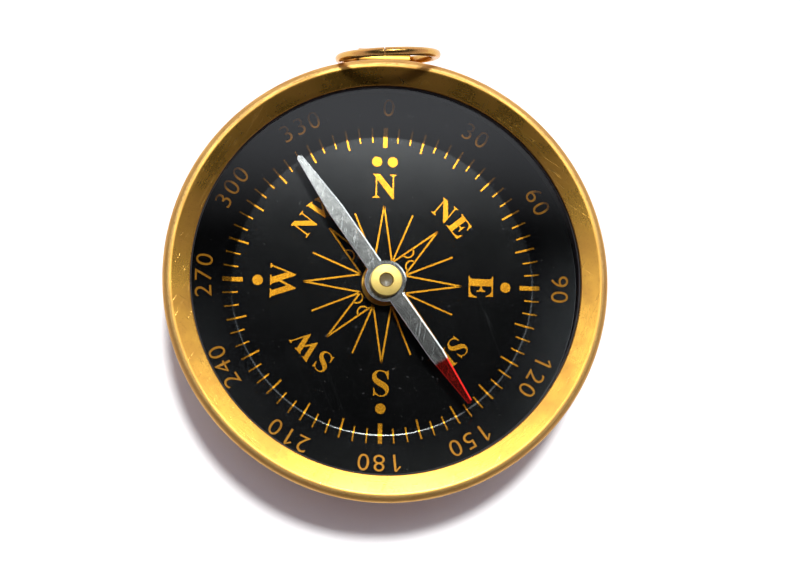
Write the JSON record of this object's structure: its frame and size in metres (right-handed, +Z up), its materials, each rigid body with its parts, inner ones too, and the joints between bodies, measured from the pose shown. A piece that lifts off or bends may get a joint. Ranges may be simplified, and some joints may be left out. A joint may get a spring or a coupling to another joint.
{
  "type": "pocket compass",
  "caption": "Open-face brass pocket compass: drawn case with a dished bezel, flat glass, dished black dial, free steel needle on a point and a bow ring in a strap lug.",
  "frame": {"origin": "centre of the flat back, on the needle's axis", "axes": "+Z up through the glass, +Y towards north on the dial and the bow ring, +X towards east"},
  "size_m": [0.05, 0.0528, 0.0178],
  "materials": {
    "case_brass": "lightly tarnished spun brass",
    "bezel_brass": "worn pressed brass with fine scratches",
    "wire_brass": "drawn brass wire, handled",
    "turned_brass": "bright turned brass",
    "inner_brass": "plain unpolished brass",
    "blackened_brass": "matt black lacquer on brass",
    "dial_enamel": "black enamel with a gold printed scale",
    "gasket_black": "thin black sealing ring",
    "lens_glass": "clear flat glass with faint scratches",
    "hardened_steel": "polished point",
    "needle_steel": "bright steel, one end lacquered red",
    "jewel_stone": "polished hard stone"
  },
  "bodies": {
    "case": {"case_cup": "case_brass", "bezel_ring": "bezel_brass", "lens_gasket": "gasket_black", "lens_glass": "lens_glass", "lens_spacer": "blackened_brass", "dial_plate": "dial_enamel", "dial_seat_ring": "inner_brass", "pivot_pillar": "inner_brass", "pivot_washer": "turned_brass", "pivot_nut": "turned_brass", "pivot_pin": "hardened_steel", "bow_lug": "case_brass"},
    "needle": {"needle_blade": "needle_steel", "needle_cap": "turned_brass", "cap_jewel": "jewel_stone"},
    "bow": {"bow_ring": "wire_brass"}
  },
  "joints": [
    {"name": "needle_spin", "type": "hinge", "parent": "case", "child": "needle", "pos_m": [0, 0, 0.0082], "axis": [0, 0, 1], "continuous": true},
    {"name": "bow_swing", "type": "hinge", "parent": "case", "child": "bow", "pos_m": [0, 0.02628, 0.0069], "axis": [-1, 0, 0], "range_deg": [0, 200]}
  ]
}
